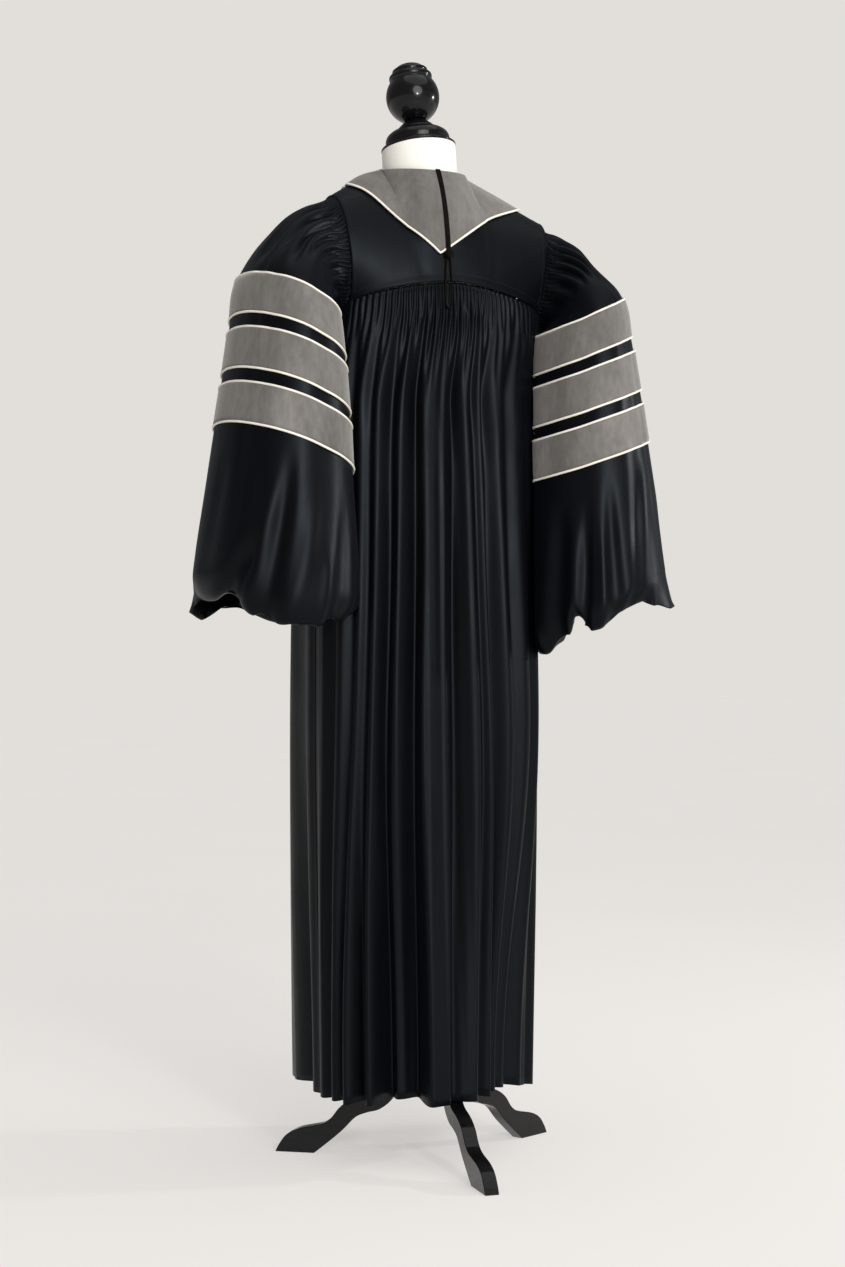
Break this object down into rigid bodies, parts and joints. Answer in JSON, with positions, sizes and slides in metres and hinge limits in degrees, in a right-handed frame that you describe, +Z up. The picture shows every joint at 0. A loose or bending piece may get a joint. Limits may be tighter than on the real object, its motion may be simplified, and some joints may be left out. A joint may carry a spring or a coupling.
{
  "type": "doctoral graduation gown on a dress form",
  "caption": "Doctoral graduation gown with a velvet V collar, velvet sleeve bars and a fluted back, worn by a limbless dress form on a turned wooden tripod stand.",
  "frame": {"origin": "centre of the overall box in X and Y, on the floor under the three feet", "axes": "+Z up, the wearer faces -Y and the wearer's left is +X; the gown's back faces +Y"},
  "size_m": [0.72, 0.49, 1.6298],
  "materials": {
    "black_satin_polyester": "black polyester with a soft satin sheen",
    "grey_velvet": "short-pile velvet",
    "ivory_piping": "satin-covered round piping",
    "black_braid": "matt braided cord",
    "cream_jersey": "smooth cotton jersey over the padded form",
    "gloss_black_wood": "gloss black lacquer"
  },
  "bodies": {
    "root": {"back_panel": "black_satin_polyester", "back_yoke": "black_satin_polyester", "base_hub": "gloss_black_wood", "collar_back": "grey_velvet", "cord_loop": "black_braid", "finial": "gloss_black_wood", "form_torso": "cream_jersey", "front_band_left": "grey_velvet", "front_band_right": "grey_velvet", "front_panel_left": "black_satin_polyester", "front_panel_right": "black_satin_polyester", "hood_button": "black_braid", "hood_cord": "black_braid", "leg_1": "gloss_black_wood", "leg_2": "gloss_black_wood", "leg_3": "gloss_black_wood", "neck_cap": "gloss_black_wood", "piping_collar": "ivory_piping", "piping_front_left": "ivory_piping", "piping_front_right": "ivory_piping", "pole": "gloss_black_wood", "sleeve_bar_left_1": "grey_velvet", "sleeve_bar_left_2": "grey_velvet", "sleeve_bar_left_3": "grey_velvet", "sleeve_bar_right_1": "grey_velvet", "sleeve_bar_right_2": "grey_velvet", "sleeve_bar_right_3": "grey_velvet", "sleeve_left": "black_satin_polyester", "sleeve_piping_left_1_bottom": "ivory_piping", "sleeve_piping_left_1_top": "ivory_piping", "sleeve_piping_left_2_bottom": "ivory_piping", "sleeve_piping_left_2_top": "ivory_piping", "sleeve_piping_left_3_bottom": "ivory_piping", "sleeve_piping_left_3_top": "ivory_piping", "sleeve_piping_right_1_bottom": "ivory_piping", "sleeve_piping_right_1_top": "ivory_piping", "sleeve_piping_right_2_bottom": "ivory_piping", "sleeve_piping_right_2_top": "ivory_piping", "sleeve_piping_right_3_bottom": "ivory_piping", "sleeve_piping_right_3_top": "ivory_piping", "sleeve_right": "black_satin_polyester"}
  },
  "joints": []
}
